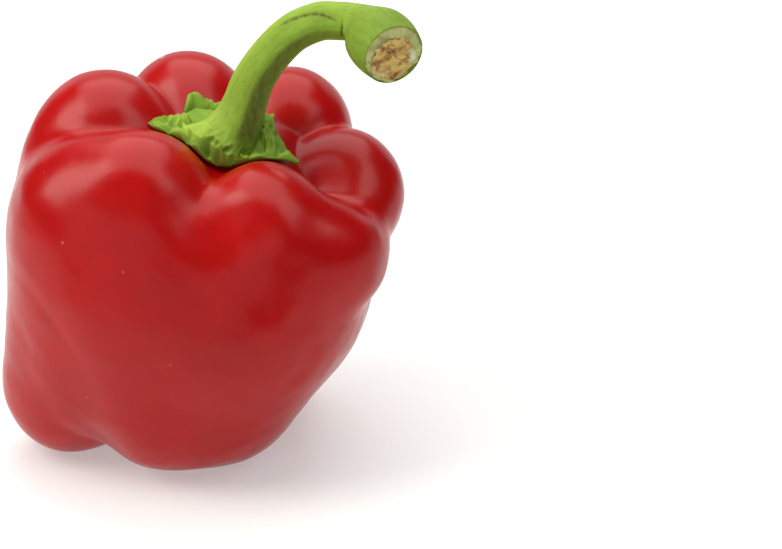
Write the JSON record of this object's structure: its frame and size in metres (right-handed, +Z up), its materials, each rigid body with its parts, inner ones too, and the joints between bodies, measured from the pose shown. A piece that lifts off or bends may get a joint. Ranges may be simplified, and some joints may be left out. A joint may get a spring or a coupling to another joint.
{
  "type": "bell pepper",
  "caption": "Red bell pepper standing on its lobed foot, with an arched green stem that spreads into a pointed collar and ends in a torn cut",
  "frame": {"origin": "On the surface that the pepper stands on, under the middle of the whole object's box", "axes": "+Z is up, along the fruit and its stem. The stem arches towards +X, and its cut end looks back towards -Y, the side that the picture shows"},
  "size_m": [0.0972, 0.0814, 0.1068],
  "materials": {
    "red_skin": "waxy glossy fruit skin",
    "green_stem": "satin green stalk with fine dents and a few brown scratches",
    "torn_pith": "dry torn fibres"
  },
  "bodies": {
    "root": {"fruit": "red_skin", "stem": "green_stem", "pith": "torn_pith"}
  },
  "joints": []
}
